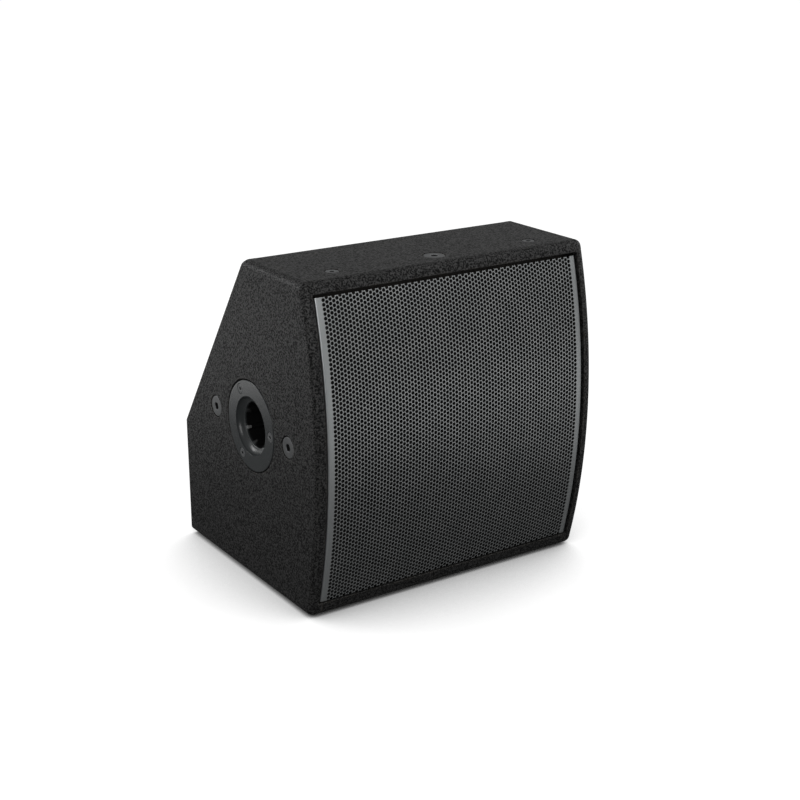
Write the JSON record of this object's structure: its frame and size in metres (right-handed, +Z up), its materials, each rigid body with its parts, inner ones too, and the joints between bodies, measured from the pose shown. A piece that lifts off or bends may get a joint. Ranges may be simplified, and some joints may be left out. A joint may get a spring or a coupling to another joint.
{
  "type": "stage monitor wedge loudspeaker",
  "caption": "Compact coaxial stage monitor with a bowed perforated steel grille, a slanted back to lie on, and a side socket for a speaker pole.",
  "frame": {"origin": "bottom centre of the bounding box, level with the undersides of the base feet", "axes": "+Z up; the grille faces -Y; +X is to the right as seen from the front"},
  "size_m": [0.282, 0.2378, 0.2876],
  "materials": {
    "cabinet_coating": "fine textured black polyurethane coating on plywood",
    "baffle_board": "stained plywood",
    "grille_steel": "semi-matt dark grey powder coat, perforated",
    "scrim_cloth": "black acoustic cloth",
    "socket_plastic": "satin dark grey moulding",
    "black_screw": "blackened steel",
    "plug_steel": "dull grey zinc",
    "foot_rubber": "matt",
    "black_plastic": "fine grained",
    "basket_casting": "black painted casting",
    "magnet_ferrite": "ground ferrite",
    "plated_steel": "zinc plated",
    "cone_paper": "coated pulp",
    "treated_cloth": "resin treated cloth",
    "coil_copper": "enamelled winding",
    "dome_metal": "thin formed dome",
    "circuit_board": "solder mask",
    "capacitor_sleeve": "shrink sleeve",
    "wadding": "polyester wadding"
  },
  "bodies": {
    "cabinet": {"side_panel_left": "cabinet_coating", "side_panel_right": "cabinet_coating", "top_panel": "cabinet_coating", "bottom_panel": "cabinet_coating", "rear_panel_slanted": "cabinet_coating", "rear_panel_lower": "cabinet_coating", "baffle": "baffle_board", "grille": "grille_steel", "grille_scrim": "scrim_cloth", "pole_socket": "socket_plastic", "pole_socket_screw_front": "plug_steel", "pole_socket_screw_upper": "plug_steel", "pole_socket_screw_lower": "plug_steel", "rigging_plug_left_front": "plug_steel", "rigging_plug_left_rear": "plug_steel", "rigging_plug_right_front": "plug_steel", "rigging_plug_right_rear": "plug_steel", "rigging_plug_top": "plug_steel", "top_screw_left": "plug_steel", "top_screw_right": "plug_steel", "base_foot_left_front": "foot_rubber", "base_foot_left_rear": "foot_rubber", "base_foot_right_front": "foot_rubber", "base_foot_right_rear": "foot_rubber", "slant_foot_left_upper": "foot_rubber", "slant_foot_left_lower": "foot_rubber", "slant_foot_right_upper": "foot_rubber", "slant_foot_right_lower": "foot_rubber", "handle_cup": "black_plastic", "connector_dish": "black_plastic", "dish_screw_left_lower": "black_screw", "dish_screw_right_lower": "black_screw", "dish_screw_left_upper": "black_screw", "dish_screw_right_upper": "black_screw", "speaker_socket_input": "black_plastic", "speaker_socket_link": "black_plastic", "mode_switch_body": "black_plastic", "lf_basket": "basket_casting", "lf_gasket": "treated_cloth", "lf_surround": "treated_cloth", "lf_spider": "treated_cloth", "lf_top_plate": "plated_steel", "lf_magnet": "magnet_ferrite", "lf_back_plate": "plated_steel", "hf_horn": "black_plastic", "hf_housing": "magnet_ferrite", "hf_rear_cap": "black_plastic", "port_tube_left": "black_plastic", "port_tube_right": "black_plastic", "crossover_board": "circuit_board", "crossover_inductor": "coil_copper", "crossover_capacitor": "capacitor_sleeve", "input_cable": "black_plastic", "lf_cable": "black_plastic", "hf_cable": "black_plastic", "damping_pad": "wadding"},
    "cone_assembly": {"lf_cone": "cone_paper", "lf_voice_coil": "coil_copper"},
    "dome": {"hf_diaphragm": "dome_metal"},
    "mode_selector": {"mode_knob": "black_plastic"}
  },
  "joints": [
    {"name": "cone_travel", "type": "slide", "parent": "cabinet", "child": "cone_assembly", "axis": [0, -1, 0], "range_m": [-0.004, 0.004], "stiffness_N_per_m": 2500, "deforming": ["lf_surround", "lf_spider"]},
    {"name": "dome_travel", "type": "slide", "parent": "cabinet", "child": "dome", "axis": [0, -1, 0], "range_m": [-0.0003, 0.0003], "stiffness_N_per_m": 8000},
    {"name": "mode_selector_turn", "type": "hinge", "parent": "cabinet", "child": "mode_selector", "pos_m": [0.034, 0.10145, 0.059], "axis": [0, 1, 0], "range_deg": [0, 90]}
  ]
}
